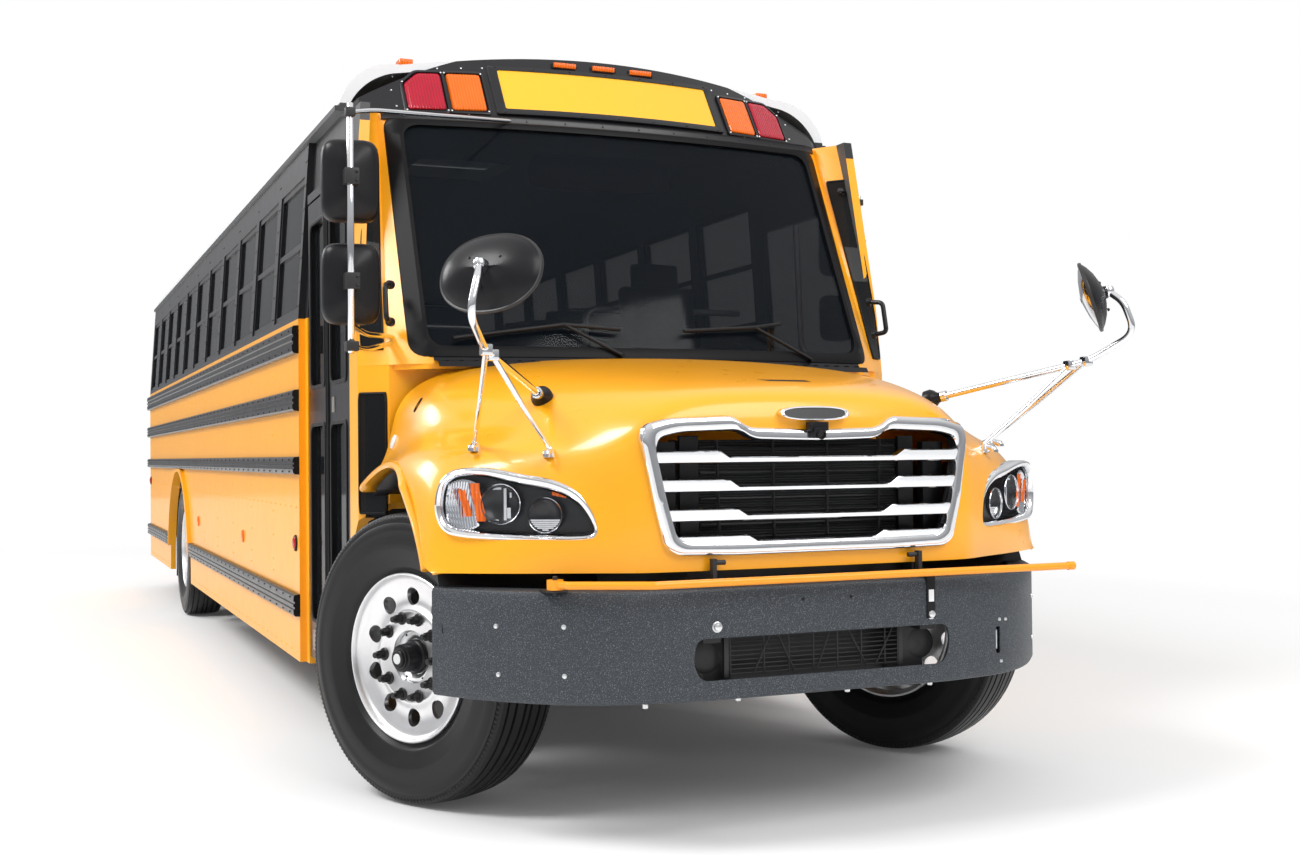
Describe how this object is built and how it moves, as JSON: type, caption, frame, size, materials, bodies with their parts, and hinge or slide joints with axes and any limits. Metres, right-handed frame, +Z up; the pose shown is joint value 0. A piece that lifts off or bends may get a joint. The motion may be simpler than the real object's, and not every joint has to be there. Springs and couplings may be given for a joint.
{
  "type": "school bus",
  "caption": "Full-size school bus with a tilting hood, folding entrance door, steered front wheels, twin rear wheels, stop arm, crossing arm, rear door and roof hatches.",
  "frame": {"origin": "on the ground below the middle of the bus's overall length and width", "axes": "+X towards the front of the bus, +Y to its left side, +Z up"},
  "size_m": [11.315, 2.79, 3.0758],
  "materials": {
    "frame_black": "satin black chassis paint",
    "body_yellow": "glossy yellow-orange",
    "roof_white": "glossy white",
    "trim_black": "gloss black",
    "bumper_grey": "textured dark blue-grey",
    "chrome": "polished",
    "rim_alloy": "polished",
    "tyre_rubber": "black",
    "screen_glass": "clear grey tint",
    "lamp_lens": "lens",
    "wiper_black": "matt",
    "seat_cover": "grey-black vinyl",
    "dash_plastic": "matt dark grey",
    "flap_rubber": "matt",
    "arm_yellow": "yellow",
    "sign_red": "red",
    "floor_dark": "ribbed dark floor",
    "exhaust_steel": "dull",
    "tank_alloy": "brushed"
  },
  "bodies": {
    "bus_body": {"chassis_frame": "frame_black", "engine_block": "frame_black", "radiator_pack": "frame_black", "front_axle": "frame_black", "rear_axle": "frame_black", "fuel_tank": "tank_alloy", "exhaust_pipe": "exhaust_steel", "body_floor": "floor_dark", "side_wall_left": "body_yellow", "side_wall_right": "body_yellow", "roof_shell": "roof_white", "front_cap": "trim_black", "rear_wall": "body_yellow", "cowl_frame": "body_yellow", "windshield": "screen_glass", "side_glass": "screen_glass", "window_sashes": "trim_black", "rub_rails": "trim_black", "rear_bumper": "trim_black", "front_bumper": "bumper_grey", "warning_lamps": "lamp_lens", "tail_lamps": "lamp_lens", "side_mirrors": "chrome", "wipers": "wiper_black", "passenger_seats": "seat_cover", "driver_seat": "seat_cover", "dashboard": "dash_plastic", "mud_flaps": "flap_rubber", "stop_arm_base": "trim_black"},
    "hood": {"hood_shell": "body_yellow", "grille": "chrome", "headlamps": "lamp_lens", "cross_view_mirrors": "chrome"},
    "door_front": {"door_front_leaf": "trim_black", "door_front_glass": "screen_glass"},
    "door_rear": {"door_rear_leaf": "trim_black", "door_rear_glass": "screen_glass"},
    "crossing_arm": {"crossing_arm": "arm_yellow"},
    "stop_arm": {"stop_arm": "sign_red"},
    "rear_door": {"rear_door": "body_yellow", "rear_door_glass": "screen_glass"},
    "hatch_front": {"roof_hatch_front": "roof_white"},
    "hatch_rear": {"roof_hatch_rear": "roof_white"},
    "knuckle_left": {"knuckle_left": "frame_black"},
    "knuckle_right": {"knuckle_right": "frame_black"},
    "front_wheel_left": {"front_rim_left": "rim_alloy", "front_tyre_left": "tyre_rubber"},
    "front_wheel_right": {"front_rim_right": "rim_alloy", "front_tyre_right": "tyre_rubber"},
    "rear_wheels_left": {"rear_rims_left": "rim_alloy", "rear_tyres_left": "tyre_rubber"},
    "rear_wheels_right": {"rear_rims_right": "rim_alloy", "rear_tyres_right": "tyre_rubber"}
  },
  "joints": [
    {"name": "hood_tilt", "type": "hinge", "parent": "bus_body", "child": "hood", "pos_m": [5.471, 0, 0.9], "axis": [0, 1, 0], "range_deg": [0, 60]},
    {"name": "door_front_swing", "type": "hinge", "parent": "bus_body", "child": "door_front", "pos_m": [3.797, -1.173, 1.3], "axis": [0, 0, 1], "range_deg": [0, 90]},
    {"name": "door_rear_swing", "type": "hinge", "parent": "bus_body", "child": "door_rear", "pos_m": [2.92, -1.173, 1.3], "axis": [0, 0, -1], "range_deg": [0, 90]},
    {"name": "crossing_arm_swing", "type": "hinge", "parent": "bus_body", "child": "crossing_arm", "pos_m": [5.381, -0.88, 0.846], "axis": [0, 0, -1], "range_deg": [0, 90]},
    {"name": "stop_arm_swing", "type": "hinge", "parent": "bus_body", "child": "stop_arm", "pos_m": [2.671, 1.269, 1.64], "axis": [0, 0, -1], "range_deg": [0, 90]},
    {"name": "rear_door_swing", "type": "hinge", "parent": "bus_body", "child": "rear_door", "pos_m": [-5.589, -0.388, 1.7], "axis": [0, 0, 1], "range_deg": [0, 105]},
    {"name": "hatch_front_lift", "type": "hinge", "parent": "bus_body", "child": "hatch_front", "pos_m": [1.463, 0, 3.046], "axis": [0, 1, 0], "range_deg": [0, 85]},
    {"name": "hatch_rear_lift", "type": "hinge", "parent": "bus_body", "child": "hatch_rear", "pos_m": [-2.687, 0, 3.046], "axis": [0, 1, 0], "range_deg": [0, 85]},
    {"name": "steer_left", "type": "hinge", "parent": "bus_body", "child": "knuckle_left", "pos_m": [4.371, 0.93, 0.525], "axis": [0, 0, 1], "range_deg": [-71.9, 18.1]},
    {"name": "steer_right", "type": "hinge", "parent": "bus_body", "child": "knuckle_right", "pos_m": [4.371, -0.93, 0.525], "axis": [0, 0, 1], "range_deg": [-71.9, 18.1]},
    {"name": "front_wheel_left_spin", "type": "hinge", "parent": "knuckle_left", "child": "front_wheel_left", "pos_m": [4.32123, 1.0281, 0.525], "axis": [-0.4524, 0.8918, 0], "continuous": true},
    {"name": "front_wheel_right_spin", "type": "hinge", "parent": "knuckle_right", "child": "front_wheel_right", "pos_m": [4.42077, -1.0281, 0.525], "axis": [-0.4524, 0.8918, 0], "continuous": true},
    {"name": "rear_wheels_left_spin", "type": "hinge", "parent": "bus_body", "child": "rear_wheels_left", "pos_m": [-2.689, 0.895, 0.525], "axis": [0, 1, 0], "continuous": true},
    {"name": "rear_wheels_right_spin", "type": "hinge", "parent": "bus_body", "child": "rear_wheels_right", "pos_m": [-2.689, -0.895, 0.525], "axis": [0, 1, 0], "continuous": true}
  ],
  "couplings": [
    {"joint": "steer_right", "follows": "steer_left", "ratio": 1},
    {"joint": "door_rear_swing", "follows": "door_front_swing", "ratio": 1}
  ]
}
